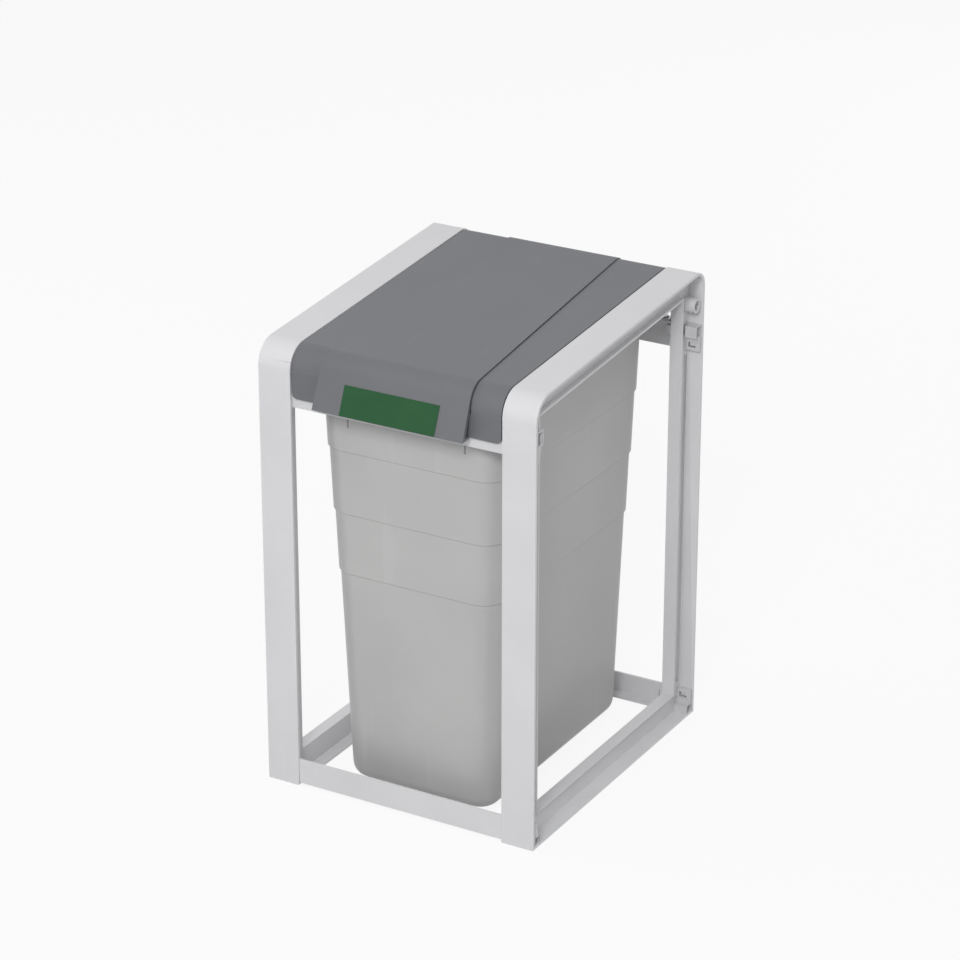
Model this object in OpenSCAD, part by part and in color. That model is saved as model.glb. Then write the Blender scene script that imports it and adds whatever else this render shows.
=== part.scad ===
// Free-standing bin module: an open frame of two side frames and four crossbars,
// a hinged hood with a throw-in flap, and a tapered bin that hangs by its rim.
// Millimetres. Front is -Y, right is +X, the floor is Z = 0.

/* [Frame] */
// Overall width across both side frames
frame_w = 400; // [380:5:480]
// Overall depth from the front face to the rear face
frame_d = 450; // [440:5:520]
// Height of the sloped top, taken at the front face
front_h = 614; // [600:2:680]
// Slope of the top, rising to the rear, in degrees
top_slope = 4; // [3:0.5:6]
// Outer bend radius at the top front corner
front_bend_r = 34; // [30:1:36]
// Outer bend radius at the top rear corner
rear_bend_r = 21; // [18:1:24]

/* [Frame profile] */
// Width of the outer band of the profile
band_w = 47; // [44:1:54]
// Thickness of the outer band
band_t = 4; // [3:0.5:5]
// Distance from the outer side to the web
web_setback = 21; // [18:1:24]
// Thickness of the web
web_t = 10; // [7:1:12]
// Depth of the whole profile, from the band to the lip
profile_depth = 35; // [33:1:40]
// Thickness of the lip on the inner end of the web
lip_t = 3; // [2:0.5:4]
// How far the lip reaches outwards past the web
lip_reach = 7; // [4:1:9]

/* [Crossbars] */
// Wall of the crossbars
bar_t = 3; // [2.5:0.5:4]
// Depth of the crossbar flanges
bar_flange = 19; // [16:1:22]
// Height of the front bottom crossbar
front_bottom_bar_h = 35; // [30:1:42]
// Height of the rear bottom crossbar
rear_bottom_bar_h = 31; // [28:1:40]
// Height of the front top crossbar
front_top_bar_h = 37; // [32:1:42]
// Height of the rear top crossbar
rear_top_bar_h = 41; // [34:1:46]
// Gap under the bottom crossbars
bar_floor_gap = 4; // [2:1:8]
// Height from the bin's seat up to the top, taken at the front face
seat_drop = 42; // [40:1:50]

/* [Hood] */
// Wall of the hood
hood_t = 3; // [2.5:0.5:3.5]
// Height of the hood's front, from its lower edge to the top plane
hood_front_h = 65; // [62:1:70]
// Depth of the pit that the flap lies in
pit_depth = 9; // [8:0.5:10]
// Width of the throw-in opening
chute_w = 156; // [130:2:160]
// Length of the throw-in opening
chute_l = 258; // [200:2:280]
// Distance from the front face to the throw-in opening
chute_y = 72; // [64:2:84]

/* [Flap] */
// Wall of the flap
flap_t = 3; // [2.5:0.5:3.5]
// Width of the flap near its front bend
flap_front_w = 212; // [190:2:220]
// Width of the flap at the rear
flap_rear_w = 163; // [150:1:170]
// How far the apron's lower edge stands in front of the frame
apron_reach = 20; // [14:1:24]
// Height of the apron, from its lower edge to the top plane
apron_h = 65; // [58:1:68]
// Bend radius between the flap and its apron
flap_bend_r = 30; // [24:1:34]
// Width of the label plate
label_w = 137; // [100:1:150]
// Height of the label plate
label_h = 39; // [28:1:40]

/* [Hinges] */
// Diameter of the hinge pins
pin_d = 6; // [5:0.5:7]
// Depth of the hinge axis below the top
axis_drop = 18.5; // [18:0.5:20]
// Distance from the rear face to the hinge axis
axis_back = 14; // [13.5:0.5:16]
// Diameter of the coupling bore near the rear top corner
coupling_bore_d = 13; // [10:0.5:14]

/* [Bin] */
// Width of the bin below its rim
bin_w = 266; // [240:2:268]
// Width of the bin at the bottom
bin_bottom_w = 218; // [200:2:230]
// Distance from the front face to the bin's front wall, at the rim
bin_front_y = 25.5; // [25:0.5:30]
// Distance from the front face to the bin's front wall, at the bottom
bin_bottom_front_y = 45; // [36:1:52]
// Distance from the rear face to the bin's rear wall, at the rim
bin_rear_gap = 28.5; // [28:0.5:34]
// Distance from the rear face to the bin's rear wall, at the bottom
bin_bottom_rear_gap = 44; // [36:1:52]
// Height of the bin's underside above the floor
bin_floor_gap = 4; // [3:1:10]
// Wall of the bin
bin_t = 3; // [2:0.5:4]
// Radius of the bin's upright corners
bin_corner_r = 30; // [24:1:38]
// Radius of the edge round the bin's floor
bin_floor_r = 20; // [12:1:24]
// Size of each ledge in the bin's side
bin_ledge = 1.6; // [1:0.2:2.4]

/* [Clearances] */
// Gap between the hood and the side frames
hood_side_gap = 2.2; // [0.8:0.1:2.6]
// Gap between the flap and the edge of its pit
flap_gap = 1; // [0.8:0.1:1.4]
// Running clearance of a hinge pin, on the radius
pin_clear = 0.05; // [0.03:0.01:0.08]
// Clearance of a screw in its hole, on the radius
screw_clear = 0.1; // [0.05:0.05:0.2]
// Gap between parts that rest on each other
rest_gap = 0.3; // [0.2:0.1:0.4]
// Seam between parts that butt together
seam = 0.15; // [0.1:0.05:0.3]

/* [Hidden] */
$fn = 48;

frame_grey = [0.82, 0.82, 0.83];
hood_grey = [0.47, 0.48, 0.49];
bin_grey = [0.69, 0.69, 0.69];
steel = [0.72, 0.73, 0.75];
rubber = [0.15, 0.15, 0.15];
label_green = [0.2, 0.37, 0.24];

// Side positions, from the middle of the width
side_x = frame_w / 2;
band_x = side_x - band_w;
web_out_x = side_x - web_setback;
web_in_x = web_out_x - web_t;
lip_x = web_out_x + lip_reach;
hood_x = band_x - hood_side_gap;

// Heights that hang from the top
seat_z = front_h - seat_drop;
hood_front_z = front_h - hood_front_h;
apron_z = front_h - apron_h;

// Height of the top plane at depth y, a distance down square to it
function top_z(y, down) = front_h + tan(top_slope) * y - down / cos(top_slope);

// Points on an arc about a centre, from one angle to another
function arc(centre, r, from, to, steps) =
    [for (i = [0 : steps]) let (a = from + (to - from) * i / steps) centre + r * [cos(a), sin(a)]];
function bend(centre, r, from, to) = r > 0 ? arc(centre, r, from, to, bend_steps) : [centre];
function reversed(list) = [for (i = [len(list) - 1 : -1 : 0]) list[i]];
bend_steps = 14;

// Screws that hold the crossbars, and the connectors that they pass through
screw_d = 5;
screw_head_d = 8;
screw_head_h = 3.4;
screw_socket_w = 4.6;
screw_socket_h = 2;
screw_y = 12.2;
low_block_h = 12;
high_block_h = 16;
high_block_drop = 3.5;
connector_depth = 16.5;
connector_plate_t = 8;
connector_plate_h = 12.8;
connector_ledge_h = 7.2;
connector_ledge_t = 2;
connector_inset = 0.8;
connector_wall = 1.2;
pocket_depth = 15;
fin_t = 0.9;
fin_l = 6;
fin_y = [3.1, 12.4];
slit_w = 2.6;
slit_l = 12;
notch_x = web_out_x + 4.5;
notch_w = 11;
notch_h = 7.4;
notch_foot = 1.2;
notch_arm = 2.4;
web_gap = 3.5;
web_gap_y = 6;
low_screw_z = bar_floor_gap + low_block_h / 2;
high_screw_z = seat_z - high_block_drop - high_block_h / 2;

// Slots in the webs of the posts, between the connectors
web_slot_w = 8;
web_slot_cut = 8;
web_slot_in = 1.5;
web_slot_low_z = 44;
web_slot_high_z = seat_z - 48;
tongue_l = 12;
screw_reach = 9;

// Coupling boss in the groove near the rear top corner
boss_d = 20;
boss_y = frame_d - 17;
boss_z = top_z(boss_y, profile_depth) - boss_d / 2 - 1.2;
boss_rib_z = 2;
boss_rib_t = 2;

// Slit near each end of the rear crossbars
slit_x = band_x - 2;
slit_t = 1.2;
slit_foot = 8;
slit_rise = 12;

// Hinge axis shared by the hood and the flap
axis_y = frame_d - axis_back;
axis_z = top_z(axis_y, axis_drop);
ear_r = pin_d / 2 + 4.5;
bracket_t = 4;
bracket_w = 12;
bracket_x = hood_x - hood_t - 0.8;
bracket_foot_t = 3;
bracket_foot_l = 18;
bracket_screw_d = 4;
bracket_screw_l = 6;
bracket_head_d = 7.5;
bracket_head_h = 2.2;
bracket_socket_w = 2.6;
bracket_screw_x = bracket_x + 6;
bracket_screw_y = axis_y - 3;
hood_ear_x = bracket_x - bracket_t - 0.5;
hood_ear_t = 4;
pin_head_d = pin_d + 3;
pin_head_h = 1.5;

// Front top crossbar stands just behind the hood's front
bar_face_y = band_t + 1.5;
bottom_face_y = 0.6;
rear_face_y = frame_d - band_t - 0.5;

// Hood and flap outlines
hood_drop = 0.5;
hood_front_y = 1.2;
hood_rear_y = frame_d - 3;
hood_front_r = front_bend_r - 1;
hood_rear_r = rear_bend_r - 1;
rear_edge_z = top_z(hood_rear_y, hood_rear_r) - 3;
hood_corner_r = 7;
skirt_depth = 20;
pit_wall = 2.5;
deck_low = pit_depth + 2.5;
deck_end_y = axis_y - ear_r - 14;
collar_t = 2.5;
collar_h = 10;
past_rear_y = frame_d + 20;
bracket_room_low = 30;
bracket_room_high = 12.5;

flap_raise = 1;
flap_ear_t = 4.5;
flap_rear_x = flap_rear_w / 2;
flap_front_x = flap_front_w / 2;
flap_front_y = 25;
flap_rim_t = 2.5;
flap_rim_h = 3;
front_wall_h = 3;
flap_grip = 18;
flap_ear_x = flap_rear_x - 1;
hood_flap_ear_x = flap_rear_x + 2;
hood_flap_ear_t = 5;
flap_taper = (flap_front_x - flap_rear_x) / (axis_y - flap_front_y);
function flap_x(y) = flap_front_x - flap_taper * (y - flap_front_y);

// Apron and the label plate on it
apron_lean = 22.6;
label_t = 0.8;
label_foot = 0.6;

// Middle of the depth, from the label plate to the rear face
front_most_y = -apron_reach - label_t * cos(apron_lean) + label_foot * sin(apron_lean);
middle_y = (frame_d + front_most_y) / 2;

// Buffers
buffer_d = 7;
buffer_h = 4;
buffer_stem_d = 4;
buffer_stem_l = 5;
buffer_x = hood_x - buffer_d / 2 - 0.7;
buffer_y = bar_face_y + 8.5;
flap_buffer_d = 8;
flap_buffer_front_y = 48;
flap_buffer_back = 60;
flap_buffer_in = 9;
stop_w = 8;
stop_z = seat_z + buffer_h + rest_gap;

// Bin
rim_t = 3;
rim_bead = 3;
rim_bead_t = 2.5;
rim_corner_r = bin_corner_r + 4;
rim_front_y = bin_front_y - 10.5;
rim_rear_y = frame_d - bin_rear_gap + 10;
rim_x = bin_w / 2 + 8;
rim_z = seat_z + rest_gap;
ledge_z = [0.535 * seat_z, 0.684 * seat_z, 0.838 * seat_z];
slot_x = 85;
slot_w = 2.4;
slot_cut = 1.4;
slot_low_z = seat_z - 59;
slot_high_z = seat_z - 44;
corner_steps = 9;
floor_steps = 6;
ring_n = 4 * (corner_steps + 1);

// Draws a side outline, given in depth and height, as a solid from one width to another
module across(x0, x1) {
    translate([x0, 0, 0]) rotate([90, 0, 90]) linear_extrude(x1 - x0) children();
}

// Moves a part so that the middle of the whole depth lies at Y = 0
module placed() {
    translate([0, -middle_y, 0]) children();
}

// The left copy of a part that is drawn on the right
module left() {
    mirror([1, 0, 0]) children();
}

// Outline of a side frame, moved inwards by a distance
module side_outline(inset) {
    front_r = max(front_bend_r - inset, 0);
    rear_r = max(rear_bend_r - inset, 0);
    front_c = [inset + front_r, top_z(inset + front_r, inset + front_r)];
    rear_c = [frame_d - inset - rear_r, top_z(frame_d - inset - rear_r, inset + rear_r)];
    polygon(concat(
        [[inset, inset], [frame_d - inset, inset]],
        bend(rear_c, rear_r, 0, 90 + top_slope),
        bend(front_c, front_r, 90 + top_slope, 180)
    ));
}

// Whole loop of one side frame, on the right
module side_loop() {
    across(band_x, side_x) difference() {
        side_outline(0);
        side_outline(band_t);
    }
    across(web_in_x, web_out_x) difference() {
        side_outline(band_t / 2);
        side_outline(profile_depth);
    }
    across(web_in_x, lip_x) difference() {
        side_outline(profile_depth - lip_t);
        side_outline(profile_depth);
    }
}

// Region of the bottom rail, cut at 45 degrees at both ends
module rail_region(gap) {
    reach = profile_depth + 20;
    across(band_x - 1, side_x + 1) polygon([
        [gap - 1, -1],
        [frame_d + 1 - gap, -1],
        [frame_d - reach - gap, reach],
        [reach + gap, reach]
    ]);
}

// Places a child at each screw of one side, at the web's outer face
module at_side_screws() {
    for (y = [screw_y, frame_d - screw_y], z = [low_screw_z, high_screw_z])
        translate([web_out_x, y, z]) children();
}

// A hole along the width, from one position to another
module hole_x(d, x0, x1) {
    translate([x0, 0, 0]) rotate([0, 90, 0]) cylinder(d = d, h = x1 - x0);
}

module bow() {
    color(frame_grey) difference() {
        side_loop();
        rail_region(0);
        at_side_screws() hole_x(screw_d + 2 * screw_clear, -web_t - 1, 1);
        translate([web_out_x, boss_y, boss_z]) hole_x(coupling_bore_d, -web_t - 1, 1);
        for (y = [band_t + web_slot_in, frame_d - band_t - web_slot_in - web_slot_w])
            translate([web_out_x - web_slot_cut, y, web_slot_low_z])
                cube([web_slot_cut + 1, web_slot_w, web_slot_high_z - web_slot_low_z]);
    }
}

module bottom_rail() {
    color(frame_grey) difference() {
        intersection() {
            side_loop();
            rail_region(seam);
        }
        at_side_screws() hole_x(screw_d + 2 * screw_clear, -web_t - 1, 1);
    }
}

// End block of a crossbar, bored for its screw, on the right
module tongue(face_y, facing, screw_z) {
    y_far = face_y + facing * bar_flange;
    translate([web_in_x - tongue_l, min(face_y, y_far), screw_z - low_block_h / 2])
        cube([tongue_l, bar_flange, low_block_h]);
}

// Crossbar between the webs: an upright plate with a flange at its foot or its head
module crossbar(face_y, facing, low_z, h, flange_low, plate_x, screw_z) {
    plate_y = facing > 0 ? face_y : face_y - bar_t;
    behind_band = facing > 0 ? max(face_y, band_t + rest_gap) : face_y;
    flange_y = facing > 0 ? behind_band : face_y - bar_flange;
    screw_at_y = facing > 0 ? screw_y : frame_d - screw_y;
    color(frame_grey) difference() {
        union() {
            translate([-plate_x, plate_y, low_z]) cube([2 * plate_x, bar_t, h]);
            translate([-plate_x, min(plate_y, flange_y), flange_low ? low_z : low_z + h - bar_t])
                cube([2 * plate_x, bar_flange, bar_t]);
            translate([-web_in_x, flange_y, flange_low ? low_z : low_z + h - bar_t])
                cube([2 * web_in_x, bar_flange, bar_t]);
            tongue(behind_band, facing, screw_z);
            left() tongue(behind_band, facing, screw_z);
        }
        for (side = [-1, 1]) {
            translate([side * web_in_x, screw_at_y, screw_z])
                hole_x(screw_d + 2 * pin_clear, -screw_reach - 2, screw_reach + 2);
            if (facing < 0)
                translate([side * slit_x - slit_t / 2, face_y - bar_t - 1, low_z + slit_foot])
                    cube([slit_t, bar_t + 2, slit_rise]);
        }
    }
}

module front_bottom_crossbar() {
    crossbar(bottom_face_y, 1, bar_floor_gap, front_bottom_bar_h, true, band_x - rest_gap, low_screw_z);
}

module rear_bottom_crossbar() {
    crossbar(rear_face_y, -1, bar_floor_gap, rear_bottom_bar_h, true, web_in_x, low_screw_z);
}

module front_top_crossbar() {
    difference() {
        crossbar(
            bar_face_y, 1, seat_z - front_top_bar_h, front_top_bar_h, false, web_in_x, high_screw_z
        );
        for (side = [-1, 1])
            translate([side * buffer_x, buffer_y, seat_z - buffer_stem_l - 0.5])
                cylinder(d = buffer_stem_d + 2 * screw_clear, h = buffer_stem_l + 2);
    }
}

module rear_top_crossbar() {
    difference() {
        crossbar(
            rear_face_y, -1, seat_z - rear_top_bar_h, rear_top_bar_h, false, web_in_x, high_screw_z
        );
        at_bracket_screws() translate([0, 0, -bracket_screw_l - 0.5])
            cylinder(d = bracket_screw_d + 2 * screw_clear, h = bracket_screw_l + 2);
    }
}

// Connector in the outer groove: a pocketed block on the screw, a ledge, and a notched plate
module connector(is_rear, is_top) {
    block_h = !is_top ? low_block_h : is_rear ? high_block_h : high_block_h + high_block_drop;
    block_z = is_top ? seat_z - high_block_drop - high_block_h : bar_floor_gap;
    ledge_low_z = is_top ? block_z - connector_ledge_h : block_z + block_h;
    plate_z = is_top ? ledge_low_z - connector_plate_h : ledge_low_z + connector_ledge_h;
    notch_z = plate_z + (is_top ? connector_plate_h - notch_h - notch_foot : notch_foot);
    slit_z = is_top ? plate_z + connector_wall : block_z + connector_wall;
    slit_h = connector_plate_h + connector_ledge_h + block_h - 2 * connector_wall;
    width = side_x - connector_inset - web_out_x;
    pocket_x = side_x - connector_inset - pocket_depth;
    place_y = is_rear ? frame_d : 0;
    translate([0, place_y, 0]) mirror([0, is_rear ? 1 : 0, 0]) color(frame_grey) difference() {
        union() {
            difference() {
                union() {
                    translate([web_out_x, band_t, block_z])
                        cube([width, connector_depth, block_h]);
                    translate([web_out_x, band_t, ledge_low_z - 0.1])
                        cube([width, connector_plate_t + connector_ledge_t, connector_ledge_h + 0.2]);
                    translate([web_out_x, band_t, plate_z - 0.1])
                        cube([width, connector_plate_t, connector_plate_h + 0.2]);
                }
                translate([pocket_x, band_t + connector_wall, block_z + connector_wall])
                    cube([
                        pocket_depth + 1,
                        connector_depth - 2 * connector_wall,
                        block_h - 2 * connector_wall
                    ]);
                translate([notch_x, 0, notch_z])
                    cube([notch_w, band_t + connector_plate_t + 1, notch_h]);
            }
            for (y = fin_y)
                translate([side_x - connector_inset - fin_l, band_t + y, block_z + connector_wall / 2])
                    cube([fin_l - 0.4, fin_t, block_h - connector_wall]);
            translate([notch_x + notch_arm, band_t, notch_z + notch_arm])
                cube([notch_w - notch_arm + 0.5, connector_plate_t - 1, notch_h - notch_arm + 0.5]);
        }
        translate([side_x - connector_inset - slit_l, 0, slit_z])
            cube([slit_l + 1, band_t + slit_w, slit_h]);
        if (is_top)
            translate([web_out_x - 1, band_t + web_gap_y, block_z - 1])
                cube([web_gap + 1, connector_depth, block_h + 2]);
        translate([web_out_x, screw_y, is_top ? high_screw_z : low_screw_z])
            hole_x(screw_d + 2 * screw_clear, -1, width + 1);
    }
}

// Screws through each connector and the web into the crossbar's end
module connector_screws() {
    head_x = web_setback - connector_inset - pocket_depth + 0.05;
    socket_x = head_x + screw_head_h - screw_socket_h;
    color(steel) for (side = [0, 1]) mirror([side, 0, 0]) at_side_screws() {
        difference() {
            hole_x(screw_head_d, head_x, head_x + screw_head_h);
            translate([socket_x, 0, 0]) rotate([0, 90, 0])
                cylinder(d = screw_socket_w, h = screw_socket_h + 1, $fn = 6);
        }
        hole_x(screw_d, -web_t - screw_reach, head_x + 1);
    }
}

// Tube in the groove that takes a bolt to a neighbouring frame, with a rib to the band
module coupling_boss() {
    length = web_setback - 2;
    color(frame_grey) translate([web_out_x, boss_y, boss_z]) difference() {
        union() {
            hole_x(boss_d, 0, length);
            translate([0, 0, boss_rib_z])
                cube([length - 1, frame_d - band_t - boss_y, boss_rib_t]);
        }
        hole_x(coupling_bore_d, -1, web_setback);
    }
}

// Places a child at each bracket screw, on the rear top crossbar
module at_bracket_screws() {
    for (side = [-1, 1])
        translate([side * bracket_screw_x, bracket_screw_y, seat_z]) children();
}

// Hinge bracket on the rear top crossbar, on the right
module hinge_bracket() {
    color(steel) difference() {
        union() {
            across(bracket_x - bracket_t, bracket_x) {
                translate([axis_y, axis_z]) circle(ear_r);
                translate([axis_y - bracket_w / 2, seat_z]) square([bracket_w, axis_z - seat_z]);
            }
            translate([bracket_x - bracket_t, bracket_screw_y - bracket_w / 2, seat_z])
                cube([bracket_foot_l, bracket_w, bracket_foot_t]);
        }
        translate([bracket_x, axis_y, axis_z]) hole_x(pin_d + 2 * pin_clear, -bracket_t - 1, 1);
        translate([bracket_screw_x, bracket_screw_y, seat_z - 1])
            cylinder(d = bracket_screw_d + 2 * screw_clear, h = bracket_foot_t + 2);
    }
}

module bracket_screws() {
    color(steel) at_bracket_screws() difference() {
        union() {
            translate([0, 0, -bracket_screw_l])
                cylinder(d = bracket_screw_d, h = bracket_screw_l + bracket_foot_t + 1);
            translate([0, 0, bracket_foot_t]) cylinder(d = bracket_head_d, h = bracket_head_h);
        }
        translate([0, 0, bracket_foot_t + bracket_head_h / 2])
            cylinder(d = bracket_socket_w, h = bracket_head_h, $fn = 6);
    }
}

// Pins that the hood turns on
module hood_hinge_pins() {
    color(steel) for (side = [0, 1]) mirror([side, 0, 0])
        translate([hood_ear_x - hood_ear_t, axis_y, axis_z]) {
            hole_x(pin_d, -0.3, bracket_x - hood_ear_x + hood_ear_t + 0.4);
            hole_x(pin_head_d, -pin_head_h - 0.2, -0.2);
        }
}

// Pins that the flap turns on
module flap_hinge_pins() {
    color(steel) for (side = [0, 1]) mirror([side, 0, 0])
        translate([flap_ear_x - flap_ear_t, axis_y, axis_z]) {
            hole_x(pin_d, -0.3, hood_flap_ear_x + hood_flap_ear_t - flap_ear_x + flap_ear_t - 0.3);
            hole_x(pin_head_d, -pin_head_h - 0.2, -0.2);
        }
}

// Rubber buffers on the front top crossbar, under the hood's stops
module hood_buffers() {
    color(rubber) for (side = [-1, 1]) translate([side * buffer_x, buffer_y, seat_z]) {
        cylinder(d = buffer_d, h = buffer_h);
        translate([0, 0, -buffer_stem_l]) cylinder(d = buffer_stem_d, h = buffer_stem_l + 1);
    }
}

// Hood outline from its rear edge over the top to its front edge, moved inwards by a distance
function hood_line(inset) =
    let (rear_r = max(hood_rear_r - inset, 1))
    let (front_r = max(hood_front_r - inset, 1))
    let (rear_c_y = hood_rear_y - inset - rear_r)
    let (rear_c = [rear_c_y, top_z(rear_c_y, hood_drop + inset + rear_r)])
    let (front_c_y = hood_front_y + inset + front_r)
    let (front_c = [front_c_y, top_z(front_c_y, hood_drop + inset + front_r)])
    concat(
        [[hood_rear_y - inset, rear_edge_z]],
        arc(rear_c, rear_r, 0, 90 + top_slope, bend_steps),
        arc(front_c, front_r, 90 + top_slope, 180, bend_steps),
        [[hood_front_y + inset, hood_front_z]]
    );

module hood_wall(from, to) {
    polygon(concat(hood_line(from), reversed(hood_line(to))));
}

// Everything under the hood's outline
module hood_fill(inset) {
    polygon(concat(hood_line(inset), [[hood_rear_y - inset, hood_front_z]]));
}

// The part of an outline that lies above the bin's seat
module above_seat() {
    intersection() {
        children();
        translate([0, stop_z]) square([frame_d, front_h]);
    }
}

// Plan of the flap, wider by a margin on each side, as a tall block
module flap_plan(margin, rear_y) {
    front_y = -apron_reach - 10;
    translate([0, 0, hood_front_z - 20]) linear_extrude(front_h) polygon([
        [-flap_x(front_y) - margin, front_y],
        [flap_x(front_y) + margin, front_y],
        [flap_x(rear_y) + margin, rear_y],
        [-flap_x(rear_y) - margin, rear_y]
    ]);
}

// Ear that hangs from a skin down to the hinge axis
module ear_outline() {
    translate([axis_y, axis_z]) circle(ear_r);
    translate([axis_y - ear_r, axis_z]) square([2 * ear_r, axis_drop + 10]);
}

module chute_ring(grow) {
    translate([-chute_w / 2 - grow, chute_y - grow, hood_front_z])
        cube([chute_w + 2 * grow, chute_l + 2 * grow, front_h]);
}

// Front wall behind the flap's apron, with a ledge back to the pit
module front_wall() {
    translate([hood_front_y, hood_front_z]) square([hood_t, stop_z + front_wall_h - hood_front_z]);
    translate([hood_front_y, stop_z]) square([deck_low, front_wall_h]);
}

module hood() {
    color(hood_grey) difference() {
        union() {
            difference() {
                across(-hood_x, hood_x) hood_wall(0, hood_t);
                flap_plan(flap_gap, past_rear_y);
            }
            difference() {
                intersection() {
                    across(-hood_x, hood_x) above_seat() hood_wall(pit_depth, deck_low);
                    flap_plan(flap_gap + pit_wall, deck_end_y);
                }
                chute_ring(0);
            }
            intersection() {
                across(-hood_x, hood_x) above_seat() hood_wall(0, deck_low);
                difference() {
                    flap_plan(flap_gap + pit_wall, deck_end_y);
                    flap_plan(flap_gap, past_rear_y);
                }
            }
            intersection() {
                across(-hood_x, hood_x) above_seat() hood_wall(pit_depth, deck_low + collar_h);
                difference() {
                    chute_ring(collar_t);
                    chute_ring(0);
                }
            }
            intersection() {
                across(-hood_x, hood_x) front_wall();
                flap_plan(flap_gap + pit_wall / 2, past_rear_y);
            }
            for (side = [0, 1]) mirror([side, 0, 0]) {
                across(hood_x - hood_t, hood_x) above_seat() hood_wall(0, skirt_depth);
                across(buffer_x - stop_w / 2, hood_x) intersection() {
                    translate([buffer_y - stop_w / 2, stop_z]) square([stop_w, front_h - stop_z]);
                    hood_fill(hood_t / 2);
                }
                across(hood_ear_x - hood_ear_t, hood_ear_x) intersection() {
                    ear_outline();
                    hood_fill(hood_t / 2);
                }
                across(hood_flap_ear_x, hood_flap_ear_x + hood_flap_ear_t) intersection() {
                    ear_outline();
                    hood_fill(hood_t / 2);
                }
            }
        }
        for (side = [0, 1]) mirror([side, 0, 0]) {
            translate([hood_ear_x, axis_y, axis_z]) hole_x(pin_d + 2 * pin_clear, -hood_ear_t - 1, 1);
            translate([hood_flap_ear_x, axis_y, axis_z])
                hole_x(pin_d + 2 * pin_clear, -1, hood_flap_ear_t + 1);
            bracket_room();
            hood_corner_cut();
        }
    }
}

// Room for a hinge bracket between the hood's ear and its skirt
module bracket_room() {
    low_x = hood_ear_x + 0.1;
    translate([low_x, axis_y, axis_z - bracket_room_low]) cube([
        hood_x - hood_t - low_x,
        past_rear_y - axis_y,
        bracket_room_low + bracket_room_high
    ]);
}

// Rounds the lower outer corner of the hood's front
module hood_corner_cut() {
    r = hood_corner_r;
    translate([hood_x - r, hood_front_y - 1, hood_front_z + r]) rotate([-90, 0, 0]) difference() {
        cube([r + 1, r + 1, hood_t + 2]);
        translate([0, 0, -1]) cylinder(r = r, h = hood_t + 4);
    }
}

// Places a child at each corner of the pit that carries the flap
module at_flap_buffers() {
    for (side = [-1, 1], y = [flap_buffer_front_y, axis_y - flap_buffer_back])
        translate([side * (flap_x(y) - flap_buffer_in), y, 0]) children();
}

// Small buffers that stand on the pit and carry the flap
module flap_buffers() {
    low = pit_depth + hood_drop;
    high = flap_t - flap_raise + rest_gap;
    color(rubber) intersection() {
        at_flap_buffers() translate([0, 0, stop_z]) cylinder(d = flap_buffer_d, h = 2 * seat_drop);
        across(-hood_x, hood_x) polygon([
            [0, top_z(0, low)],
            [frame_d, top_z(frame_d, low)],
            [frame_d, top_z(frame_d, high)],
            [0, top_z(0, high)]
        ]);
    }
}

// Flap outline from its rear edge over the top to the apron's lower edge
function flap_line(inset) =
    let (rear_r = hood_rear_r - inset)
    let (bend_r = flap_bend_r - inset)
    let (drop = inset - flap_raise)
    let (rear_c = [hood_rear_y - hood_rear_r, top_z(hood_rear_y - hood_rear_r, hood_rear_r - flap_raise)])
    let (foot = [-apron_reach + inset / cos(apron_lean), apron_z])
    let (run = (top_z(foot[0], drop) - apron_z) / (1 - tan(top_slope) * tan(apron_lean)))
    let (corner = [foot[0] + run * tan(apron_lean), apron_z + run])
    let (turn = 90 - top_slope - apron_lean)
    let (reach = bend_r * tan(turn / 2))
    let (tangent = corner + reach * [cos(top_slope), sin(top_slope)])
    let (centre = tangent + bend_r * [sin(top_slope), -cos(top_slope)])
    concat(
        [[hood_rear_y - inset, rear_edge_z]],
        arc(rear_c, rear_r, 0, 90 + top_slope, bend_steps),
        arc(centre, bend_r, 90 + top_slope, 180 - apron_lean, bend_steps),
        [foot]
    );

module flap_wall(from, to) {
    polygon(concat(flap_line(from), reversed(flap_line(to))));
}

// Everything under the flap's outline
module flap_fill(inset) {
    polygon(concat(flap_line(inset), [[0, apron_z], [hood_rear_y - inset, apron_z]]));
}

module flap() {
    color(hood_grey) difference() {
        union() {
            intersection() {
                across(-hood_x, hood_x) flap_wall(0, flap_t);
                flap_plan(0, frame_d);
            }
            intersection() {
                across(-hood_x, hood_x) flap_wall(0, flap_t + flap_rim_h);
                difference() {
                    flap_plan(0, frame_d);
                    flap_plan(-flap_rim_t, frame_d + 1);
                }
            }
            intersection() {
                translate([-hood_x, -apron_reach + 1, apron_z]) cube([2 * hood_x, flap_grip, flap_rim_t]);
                flap_plan(0, frame_d);
            }
            for (side = [0, 1]) mirror([side, 0, 0])
                across(flap_ear_x - flap_ear_t, flap_ear_x) intersection() {
                    ear_outline();
                    flap_fill(flap_t / 2);
                }
        }
        for (side = [0, 1]) mirror([side, 0, 0])
            translate([flap_ear_x, axis_y, axis_z])
                hole_x(pin_d + 2 * pin_clear, -flap_ear_t - 1, 1);
    }
}

// Plain coloured plate on the apron
module label_plate() {
    color(label_green)
        translate([-label_w / 2, -apron_reach, apron_z]) rotate([-apron_lean, 0, 0])
            translate([0, -label_t, label_foot]) cube([label_w, label_t, label_h]);
}

// Ring of points round the bin at one height
function bin_ring(z, half_w, front_y, rear_y, r) = [
    for (corner = [
        [half_w - r, front_y + r, -90], [half_w - r, rear_y - r, 0],
        [-half_w + r, rear_y - r, 90], [-half_w + r, front_y + r, 180]
    ])
        for (step = [0 : corner_steps])
            [corner[0], corner[1], z] + r * [
                cos(corner[2] + 90 * step / corner_steps),
                sin(corner[2] + 90 * step / corner_steps),
                0
            ]
];

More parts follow.
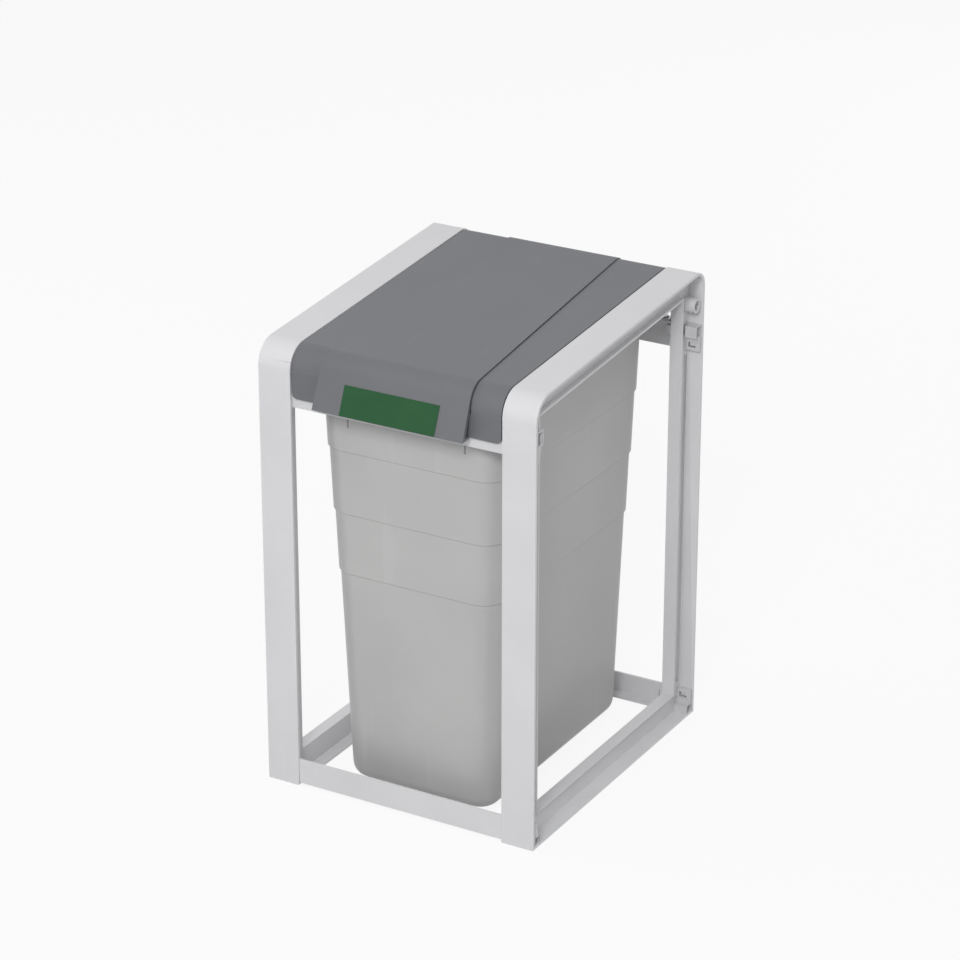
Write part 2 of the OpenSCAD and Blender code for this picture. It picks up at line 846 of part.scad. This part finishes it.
// How far up the bin's side a height lies, from 0 at the bottom to 1 at the rim
function bin_rise(z) = (z - bin_floor_gap) / (seat_z - bin_floor_gap);
function ledges_above(z, above) = bin_ledge * len([for (l = ledge_z) if (above ? l >= z : l > z) 1]);
full_ledge = bin_ledge * len(ledge_z);

// How far the bin's front leans in from the rim to the slots
bin_slant = (bin_bottom_front_y - bin_front_y) * (1 - bin_rise(slot_low_z));

// The bin's side at a height, drawn in by a wall or a round
function bin_side(z, in, above) =
    let (rise = bin_rise(z))
    let (step = ledges_above(z, above) - full_ledge * (1 - rise))
    bin_ring(
        z,
        bin_bottom_w / 2 + (bin_w - bin_bottom_w) / 2 * rise - step - in,
        bin_bottom_front_y + (bin_front_y - bin_bottom_front_y) * rise + step + in,
        frame_d - bin_bottom_rear_gap + (bin_bottom_rear_gap - bin_rear_gap) * rise - step - in,
        bin_corner_r - min(in, bin_corner_r - 4)
    );

// Outer line of the rim, drawn in by a distance
function rim_ring(z, in) =
    bin_ring(z, rim_x - in, rim_front_y + in, rim_rear_y - in, rim_corner_r - in);

// Rings from the underside up the outside, over the rim and down the inside
bin_rings = concat(
    [for (i = [0 : floor_steps - 1])
        let (a = 90 * i / floor_steps)
        bin_side(bin_floor_gap + bin_floor_r * (1 - cos(a)), bin_floor_r * (1 - sin(a)), true)],
    [bin_side(bin_floor_gap + bin_floor_r, 0, true)],
    [for (z = ledge_z) each [bin_side(z - bin_ledge, 0, true), bin_side(z, 0, false)]],
    [bin_side(seat_z, 0, true)],
    [bin_ring(rim_z, bin_w / 2 + 0.5, bin_front_y - 0.5, frame_d - bin_rear_gap + 0.5, bin_corner_r)],
    [rim_ring(rim_z, 0)],
    [rim_ring(rim_z + rim_t + rim_bead, 0), rim_ring(rim_z + rim_t + rim_bead, rim_bead_t)],
    [rim_ring(rim_z + rim_t, rim_bead_t + 0.5)],
    [bin_ring(
        rim_z + rim_t,
        bin_w / 2 - bin_t,
        bin_front_y + bin_t,
        frame_d - bin_rear_gap - bin_t,
        bin_corner_r - bin_t
    )],
    [for (i = [len(ledge_z) - 1 : -1 : 0])
        each [bin_side(ledge_z[i], bin_t, false), bin_side(ledge_z[i] - bin_ledge, bin_t, true)]],
    [bin_side(bin_floor_gap + bin_floor_r, bin_t, true)],
    [for (i = [floor_steps - 1 : -1 : 1])
        let (a = 90 * i / floor_steps)
        bin_side(
            bin_floor_gap + bin_t + (bin_floor_r - bin_t) * (1 - cos(a)),
            bin_t + (bin_floor_r - bin_t) * (1 - sin(a)),
            true
        )],
    [bin_side(bin_floor_gap + bin_t, bin_floor_r, true)]
);

module bin() {
    points = [for (ring = bin_rings) each ring];
    last = (len(bin_rings) - 1) * ring_n;
    sides = [for (i = [0 : len(bin_rings) - 2], j = [0 : ring_n - 1])
        let (k = (j + 1) % ring_n)
        each [
            [i * ring_n + j, (i + 1) * ring_n + j, i * ring_n + k],
            [i * ring_n + k, (i + 1) * ring_n + j, (i + 1) * ring_n + k]
        ]];
    color(bin_grey) difference() {
        polyhedron(
            points,
            concat(sides, [[for (j = [0 : ring_n - 1]) j]], [[for (j = [ring_n - 1 : -1 : 0]) last + j]]),
            convexity = 6
        );
        for (side = [-1, 1])
            translate([side * slot_x - slot_w / 2, bin_front_y - 10, slot_low_z])
                cube([slot_w, slot_cut + 10 + bin_slant, slot_high_z - slot_low_z]);
    }
}

placed() left() bow();  // left_bow
placed() bow();  // right_bow
placed() left() bottom_rail();  // left_bottom_rail
placed() bottom_rail();  // right_bottom_rail
placed() front_bottom_crossbar();
placed() rear_bottom_crossbar();
placed() front_top_crossbar();
placed() rear_top_crossbar();
placed() left() connector(false, false);  // left_front_bottom_connector
placed() connector(false, false);  // right_front_bottom_connector
placed() left() connector(true, false);  // left_rear_bottom_connector
placed() connector(true, false);  // right_rear_bottom_connector
placed() left() connector(false, true);  // left_front_top_connector
placed() connector(false, true);  // right_front_top_connector
placed() left() connector(true, true);  // left_rear_top_connector
placed() connector(true, true);  // right_rear_top_connector
placed() connector_screws();
placed() left() coupling_boss();  // left_coupling_boss
placed() coupling_boss();  // right_coupling_boss
placed() left() hinge_bracket();  // left_hinge_bracket
placed() hinge_bracket();  // right_hinge_bracket
placed() bracket_screws();
placed() hood_hinge_pins();
placed() hood_buffers();
placed() hood();
placed() flap_buffers();
placed() flap_hinge_pins();
placed() flap();
placed() label_plate();
placed() bin();
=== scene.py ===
import math
import bmesh
import bpy
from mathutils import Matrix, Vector


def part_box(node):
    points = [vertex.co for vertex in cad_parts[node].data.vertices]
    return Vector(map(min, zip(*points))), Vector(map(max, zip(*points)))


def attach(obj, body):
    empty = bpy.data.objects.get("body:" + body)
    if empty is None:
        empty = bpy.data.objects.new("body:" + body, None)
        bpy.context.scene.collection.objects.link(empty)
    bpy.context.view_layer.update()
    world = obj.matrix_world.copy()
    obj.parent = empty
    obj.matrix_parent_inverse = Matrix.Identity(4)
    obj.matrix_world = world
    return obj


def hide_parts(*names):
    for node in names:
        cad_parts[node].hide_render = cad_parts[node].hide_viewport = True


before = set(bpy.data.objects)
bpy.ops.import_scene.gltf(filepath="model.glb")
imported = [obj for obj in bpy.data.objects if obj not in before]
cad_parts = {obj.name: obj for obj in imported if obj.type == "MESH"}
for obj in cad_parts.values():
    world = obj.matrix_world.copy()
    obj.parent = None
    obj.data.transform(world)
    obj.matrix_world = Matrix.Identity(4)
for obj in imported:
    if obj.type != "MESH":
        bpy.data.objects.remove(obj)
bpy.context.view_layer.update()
print("frame loaded")

# camera, matched to the photo
cameraSettings = {
    "place": (2.07199, -3.58668, 2.17402),
    "azimuth": 30.042,
    "elevation": 23.298,
    "lens": 130.04,
    "sensorWidth": 36.0,
    "clipEnd": 60.0,
}


def makeCamera(s):
    data = bpy.data.cameras.new("PhotoCamera")
    data.sensor_width = s["sensorWidth"]
    data.lens = s["lens"]
    data.clip_end = s["clipEnd"]
    cam = bpy.data.objects.new("PhotoCamera", data)
    cam.location = s["place"]
    cam.rotation_euler = (math.radians(90 - s["elevation"]), 0, math.radians(s["azimuth"]))
    bpy.context.scene.collection.objects.link(cam)
    bpy.context.scene.camera = cam


makeCamera(cameraSettings)
print("camera placed")


def newMaterial(name):
    mat = bpy.data.materials.new(name)
    mat.use_nodes = True
    return mat, mat.node_tree.nodes, mat.node_tree.links, mat.node_tree.nodes["Principled BSDF"]


def noise(nodes, links, coords, scale, detail, stretch=None):
    tex = nodes.new("ShaderNodeTexNoise")
    tex.inputs["Scale"].default_value = scale
    tex.inputs["Detail"].default_value = detail
    source = coords.outputs["Object"]
    if stretch:
        mapping = nodes.new("ShaderNodeMapping")
        mapping.inputs["Scale"].default_value = stretch
        links.new(source, mapping.inputs["Vector"])
        source = mapping.outputs["Vector"]
    links.new(source, tex.inputs["Vector"])
    return tex


def ranged(nodes, links, value, fromRange, toRange):
    node = nodes.new("ShaderNodeMapRange")
    node.inputs["From Min"].default_value, node.inputs["From Max"].default_value = fromRange
    node.inputs["To Min"].default_value, node.inputs["To Max"].default_value = toRange
    links.new(value, node.inputs["Value"])
    return node.outputs["Result"]


def mixedColour(nodes, links, factor, first, second):
    node = nodes.new("ShaderNodeMix")
    node.data_type = "RGBA"
    links.new(factor, node.inputs[0])
    for socket, colour in ((6, first), (7, second)):
        if isinstance(colour, tuple):
            node.inputs[socket].default_value = (*colour, 1)
        else:
            links.new(colour, node.inputs[socket])
    return node.outputs[2]


def bumped(nodes, links, height, strength, distance, before=None):
    node = nodes.new("ShaderNodeBump")
    node.inputs["Strength"].default_value = strength
    node.inputs["Distance"].default_value = distance
    links.new(height, node.inputs["Height"])
    if before:
        links.new(before, node.inputs["Normal"])
    return node.outputs["Normal"]


# what every finish shares: how fine each noise is, the part of it that shows, and bump depths
patternSettings = {
    "cloudDetail": 3.0, "scuffDetail": 4.0, "grainDetail": 2.0, "waveDetail": 1.0,
    "cloudSpan": (0.3, 0.7), "scuffSpan": (0.62, 0.75),
    "waveDepth": 0.001, "grainDepth": 0.0003,
}


def makeFinish(s):
    # moulded or coated surface: cloudy colour, grain, fine scuffs and uneven gloss
    p = patternSettings
    mat, nodes, links, shader = newMaterial(s["name"])
    coords = nodes.new("ShaderNodeTexCoord")
    clouds = noise(nodes, links, coords, s["cloudScale"], p["cloudDetail"])
    shade = ranged(nodes, links, clouds.outputs["Fac"], p["cloudSpan"], (0.0, 1.0))
    base = mixedColour(nodes, links, shade, s["dark"], s["light"])
    scuffs = noise(nodes, links, coords, s["scuffScale"], p["scuffDetail"], s["scuffStretch"])
    scuffed = ranged(nodes, links, scuffs.outputs["Fac"], p["scuffSpan"], (0.0, s["scuffAmount"]))
    base = mixedColour(nodes, links, scuffed, base, s["scuff"])
    links.new(base, shader.inputs["Base Color"])
    grain = noise(nodes, links, coords, s["grainScale"], p["grainDetail"])
    waves = noise(nodes, links, coords, s["waveScale"], p["waveDetail"])
    rough = ranged(nodes, links, clouds.outputs["Fac"], p["cloudSpan"], s["roughness"])
    links.new(rough, shader.inputs["Roughness"])
    wavy = bumped(nodes, links, waves.outputs["Fac"], s["wave"], p["waveDepth"])
    normal = bumped(nodes, links, grain.outputs["Fac"], s["grain"], p["grainDepth"], wavy)
    links.new(normal, shader.inputs["Normal"])
    shader.inputs["Metallic"].default_value = s.get("metallic", 0.0)
    shader.inputs["Specular IOR Level"].default_value = s.get("specular", 0.5)
    return mat


coatSettings = {
    "name": "GreyPowderCoat", "dark": (0.655, 0.655, 0.668), "light": (0.69, 0.69, 0.705),
    "scuff": (0.72, 0.72, 0.73), "cloudScale": 9.0, "scuffScale": 60.0,
    "scuffStretch": (1.0, 1.0, 0.12), "scuffAmount": 0.35, "grainScale": 1400.0,
    "waveScale": 60.0, "grain": 0.10, "wave": 0.03, "roughness": (0.34, 0.46),
}
connectorSettings = {
    "name": "GreyNylon", "dark": (0.56, 0.56, 0.575), "light": (0.62, 0.62, 0.63),
    "scuff": (0.7, 0.7, 0.7), "cloudScale": 60.0, "scuffScale": 300.0,
    "scuffStretch": (1.0, 1.0, 0.5), "scuffAmount": 0.4, "grainScale": 2500.0,
    "waveScale": 150.0, "grain": 0.14, "wave": 0.04, "roughness": (0.42, 0.55),
}
hoodSettings = {
    "name": "DarkGreyHood", "dark": (0.147, 0.150, 0.162), "light": (0.160, 0.164, 0.177),
    "scuff": (0.27, 0.275, 0.285), "cloudScale": 7.0, "scuffScale": 90.0,
    "scuffStretch": (1.0, 0.15, 1.0), "scuffAmount": 0.1, "grainScale": 2200.0,
    "waveScale": 35.0, "grain": 0.16, "wave": 0.03, "roughness": (0.38, 0.5), "specular": 0.35,
}
binSettings = {
    "name": "GreyBinPlastic", "dark": (0.463, 0.463, 0.463), "light": (0.508, 0.508, 0.505),
    "scuff": (0.55, 0.55, 0.55), "cloudScale": 6.0, "scuffScale": 45.0,
    "scuffStretch": (1.0, 1.0, 0.1), "scuffAmount": 0.45, "grainScale": 1600.0,
    "waveScale": 18.0, "grain": 0.12, "wave": 0.12, "roughness": (0.36, 0.5),
}
labelSettings = {
    "name": "GreenLabel", "dark": (0.022, 0.086, 0.034), "light": (0.027, 0.098, 0.040),
    "scuff": (0.045, 0.125, 0.062), "cloudScale": 25.0, "scuffScale": 200.0,
    "scuffStretch": (0.15, 1.0, 1.0), "scuffAmount": 0.4, "grainScale": 1800.0,
    "waveScale": 40.0, "grain": 0.06, "wave": 0.04, "roughness": (0.6, 0.72), "specular": 0.15,
}
rubberSettings = {
    "name": "BlackRubber", "dark": (0.022, 0.022, 0.022), "light": (0.035, 0.035, 0.035),
    "scuff": (0.09, 0.09, 0.09), "cloudScale": 120.0, "scuffScale": 500.0,
    "scuffStretch": (1.0, 1.0, 1.0), "scuffAmount": 0.4, "grainScale": 2600.0,
    "waveScale": 200.0, "grain": 0.25, "wave": 0.05, "roughness": (0.6, 0.78),
}
steelSettings = {
    "name": "ZincSteel", "dark": (0.5, 0.51, 0.53), "light": (0.62, 0.63, 0.65),
    "scuff": (0.75, 0.75, 0.76), "cloudScale": 90.0, "scuffScale": 700.0,
    "scuffStretch": (0.1, 1.0, 1.0), "scuffAmount": 0.6, "grainScale": 3000.0,
    "waveScale": 300.0, "grain": 0.08, "wave": 0.03, "roughness": (0.26, 0.42), "metallic": 1.0,
}
coatMat = makeFinish(coatSettings)
connectorMat = makeFinish(connectorSettings)
hoodMat = makeFinish(hoodSettings)
binMat = makeFinish(binSettings)
labelMat = makeFinish(labelSettings)
rubberMat = makeFinish(rubberSettings)
steelMat = makeFinish(steelSettings)
print("materials made")


# pieces shaped from copies of the frame's own nodes; lengths in metres, angles in degrees
meshSettings = {
    "weld": 0.00003, "flatWithin": 0.4, "shortestEdge": 0.000002,
    "shadeSharpOver": 38, "normalWeight": 80,
}


def nodeCopy(nodeName):
    bm = bmesh.new()
    bm.from_mesh(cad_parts[nodeName].data)
    bmesh.ops.remove_doubles(bm, verts=bm.verts, dist=meshSettings["weld"])
    bmesh.ops.dissolve_limit(
        bm, angle_limit=math.radians(meshSettings["flatWithin"]),
        verts=bm.verts, edges=bm.edges, use_dissolve_boundaries=False,
    )
    return bm


def sharpEdges(bm, sharperThan, chosen=None):
    limit = math.radians(sharperThan)
    return [
        e for e in bm.edges
        if len(e.link_faces) == 2 and e.calc_face_angle(0) > limit and (chosen is None or chosen(e))
    ]


def roundOff(bm, edges, width, segments):
    bmesh.ops.bevel(
        bm, geom=edges, offset=width, offset_type="OFFSET", affect="EDGES", segments=segments,
        profile=0.5, material=-1, clamp_overlap=True, loop_slide=True,
    )


def finishPiece(bm, name, material, body, nodeNames):
    bmesh.ops.dissolve_degenerate(bm, dist=meshSettings["shortestEdge"], edges=bm.edges)
    mesh = bpy.data.meshes.new(name)
    bm.to_mesh(mesh)
    bm.free()
    mesh.materials.append(material)
    for face in mesh.polygons:
        face.use_smooth = True
    mesh.set_sharp_from_angle(angle=math.radians(meshSettings["shadeSharpOver"]))
    obj = bpy.data.objects.new(name, mesh)
    bpy.context.scene.collection.objects.link(obj)
    weighted = obj.modifiers.new("EvenShading", "WEIGHTED_NORMAL")
    weighted.keep_sharp = True
    weighted.weight = meshSettings["normalWeight"]
    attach(obj, body)
    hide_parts(*nodeNames)


def pascal(nodeName):
    return "".join(word.capitalize() for word in nodeName.split("_"))


def dress(nodeName, body, material, s):
    # a node's copy with its sharp edges rounded by the width that its settings give
    bm = nodeCopy(nodeName)
    roundOff(bm, sharpEdges(bm, s.get("sharperThan", 30)), s["edge"], s.get("segments", 2))
    finishPiece(bm, pascal(nodeName), material, body, (nodeName,))


# side frames: the edges round the outside of the loop are soft, the others stay crisp
profileSettings = {
    "outerRound": 0.0014, "segments": 3, "sharperThan": 50,
    "sideX": 0.2, "bandX": 0.153, "frontTopZ": 0.614, "topTilt": 4.0,
    "skin": 0.0025, "bendReach": 0.012, "rearBendReach": 0.008, "sameX": 0.0001,
}


def dressProfile(nodeName):
    s = profileSettings
    bm = nodeCopy(nodeName)
    bowLow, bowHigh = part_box("left_bow")
    front, rear = bowLow[1], bowHigh[1]
    tilt = math.radians(s["topTilt"])
    loopMiddle = Vector((0, (front + rear) / 2, s["frontTopZ"] / 2))

    def isOutermost(place):
        topZ = s["frontTopZ"] + math.tan(tilt) * (place.y - front)
        fromTop = (topZ - place.z) * math.cos(tilt)
        depth = min(place.y - front, rear - place.y, fromTop, place.z)
        nearBend = place.y - front < s["bendReach"] or rear - place.y < s["rearBendReach"]
        return depth < s["skin"] or (fromTop < s["bendReach"] and nearBend)

    def onOuterSkin(edge):
        # an edge of the band whose one face looks sideways and the other out of the loop
        first, second = edge.verts
        if abs(first.co.x - second.co.x) > s["sameX"]:
            return False
        if min(abs(abs(first.co.x) - x) for x in (s["sideX"], s["bandX"])) > s["sameX"]:
            return False
        rims = [face for face in edge.link_faces if abs(face.normal.x) < 0.5]
        looksOut = bool(rims) and rims[0].normal.dot(first.co - loopMiddle) > 0
        return looksOut and isOutermost(first.co)

    roundOff(bm, sharpEdges(bm, s["sharperThan"], onOuterSkin), s["outerRound"], s["segments"])
    finishPiece(bm, pascal(nodeName), coatMat, "frame", (nodeName,))


for nodeName in ("left_bow", "right_bow", "left_bottom_rail", "right_bottom_rail"):
    dressProfile(nodeName)

crossbarSettings = {"edge": 0.0006}
for nodeName in (
    "front_bottom_crossbar", "rear_bottom_crossbar", "front_top_crossbar", "rear_top_crossbar"
):
    dress(nodeName, "frame", coatMat, crossbarSettings)
print("frame dressed")

cornerSettings = {"edge": 0.0003}
bossSettings = {"edge": 0.0005}
bracketSettings = {"edge": 0.0004}
screwSettings = {"edge": 0.0003}
pinSettings = {"edge": 0.0003}
bufferSettings = {"edge": 0.0005}
for side in ("left", "right"):
    for place in ("front_bottom", "rear_bottom", "front_top", "rear_top"):
        cornerName = side + "_" + place + "_connector"
        dress(cornerName, "frame", connectorMat, cornerSettings)
    dress(side + "_coupling_boss", "frame", connectorMat, bossSettings)
    dress(side + "_hinge_bracket", "frame", steelMat, bracketSettings)
dress("connector_screws", "frame", steelMat, screwSettings)
dress("bracket_screws", "frame", steelMat, screwSettings)
dress("hood_hinge_pins", "hood", steelMat, pinSettings)
dress("flap_hinge_pins", "hood", steelMat, pinSettings)
dress("hood_buffers", "frame", rubberMat, bufferSettings)
dress("flap_buffers", "hood", rubberMat, bufferSettings)
print("fittings dressed")

hoodShellSettings = {"edge": 0.0005, "sharperThan": 25}
flapSettings = {"edge": 0.0013, "segments": 3, "sharperThan": 25}
labelPlateSettings = {"edge": 0.00025}
binShellSettings = {"edge": 0.0002, "segments": 1, "sharperThan": 20}
dress("hood", "hood", hoodMat, hoodShellSettings)
dress("flap", "flap", hoodMat, flapSettings)
dress("label_plate", "flap", labelMat, labelPlateSettings)
dress("bin", "bin", binMat, binShellSettings)
print("hood, flap and bin dressed")


studioSettings = {
    "floorSize": 40.0, "floorDrop": 0.0002, "floorColour": (0.7, 0.7, 0.7), "floorGlow": 0.9,
    "skyStrength": 0.5,
}


def seenWhite(nodes, links):
    # 1 for what the camera, a mirror or glass shows, 0 for what lights the object
    rays = nodes.new("ShaderNodeLightPath")
    factor = rays.outputs["Is Camera Ray"]
    for kind in ("Is Glossy Ray", "Is Transmission Ray"):
        either = nodes.new("ShaderNodeMath")
        either.operation = "MAXIMUM"
        links.new(factor, either.inputs[0])
        links.new(rays.outputs[kind], either.inputs[1])
        factor = either.outputs[0]
    return factor


def makeFloor(s):
    bm = bmesh.new()
    bmesh.ops.create_grid(bm, x_segments=1, y_segments=1, size=s["floorSize"] / 2)
    bmesh.ops.translate(bm, verts=bm.verts, vec=(0, 0, -s["floorDrop"]))
    mesh = bpy.data.meshes.new("StudioFloor")
    bm.to_mesh(mesh)
    bm.free()
    floor = bpy.data.objects.new("StudioFloor", mesh)
    bpy.context.scene.collection.objects.link(floor)
    mat, nodes, links, shader = newMaterial("StudioWhite")
    nodes.remove(shader)
    output = nodes["Material Output"]
    paper = nodes.new("ShaderNodeBsdfDiffuse")
    paper.inputs["Color"].default_value = (*s["floorColour"], 1)
    glow = nodes.new("ShaderNodeEmission")
    glow.inputs["Strength"].default_value = 1.0
    seen = nodes.new("ShaderNodeMath")
    seen.operation = "MULTIPLY"
    seen.inputs[1].default_value = s["floorGlow"]
    links.new(seenWhite(nodes, links), seen.inputs[0])
    mix = nodes.new("ShaderNodeMixShader")
    links.new(seen.outputs[0], mix.inputs[0])
    links.new(paper.outputs[0], mix.inputs[1])
    links.new(glow.outputs[0], mix.inputs[2])
    links.new(mix.outputs[0], output.inputs["Surface"])
    mesh.materials.append(mat)


def makeSky(s):
    world = bpy.data.worlds.new("StudioSky")
    bpy.context.scene.world = world
    world.use_nodes = True
    nodes, links = world.node_tree.nodes, world.node_tree.links
    lit = nodes["Background"]
    lit.inputs["Color"].default_value = (1, 1, 1, 1)
    lit.inputs["Strength"].default_value = s["skyStrength"]
    white = nodes.new("ShaderNodeBackground")
    white.inputs["Color"].default_value = (1, 1, 1, 1)
    white.inputs["Strength"].default_value = 1.0
    mix = nodes.new("ShaderNodeMixShader")
    links.new(seenWhite(nodes, links), mix.inputs[0])
    links.new(lit.outputs[0], mix.inputs[1])
    links.new(white.outputs[0], mix.inputs[2])
    links.new(mix.outputs[0], nodes["World Output"].inputs["Surface"])


lampSettings = {
    "FrontSoftbox": {"place": (1.1, -3.1, 2.7), "target": (0, 0, 0.35), "size": 1.0, "power": 68},
    "TopSoftbox": {"place": (0.0, -0.6, 3.4), "target": (0, 0, 0.4), "size": 2.6, "power": 2},
    "RightFill": {"place": (3.0, -1.2, 0.7), "target": (0, 0, 0.25), "size": 1.6, "power": 4},
    "RearSoftbox": {"place": (0.6, 3.7, 0.8), "target": (0, 0, 0.35), "size": 1.2, "power": 22},
    "LeftSoftbox": {"place": (-3.2, -0.6, 1.9), "target": (0, 0, 0.4), "size": 1.2, "power": 30},
}


def addLamp(name, s):
    data = bpy.data.lights.new(name, "AREA")
    data.shape = "SQUARE"
    data.size = s["size"]
    data.energy = s["power"]
    lamp = bpy.data.objects.new(name, data)
    lamp.location = s["place"]
    aim = Vector(s["target"]) - Vector(s["place"])
    lamp.rotation_euler = aim.to_track_quat("-Z", "Y").to_euler()
    bpy.context.scene.collection.objects.link(lamp)


makeFloor(studioSettings)
makeSky(studioSettings)
for lampName, lamp in lampSettings.items():
    addLamp(lampName, lamp)
bpy.context.scene.view_settings.view_transform = "Standard"
print("studio lit")
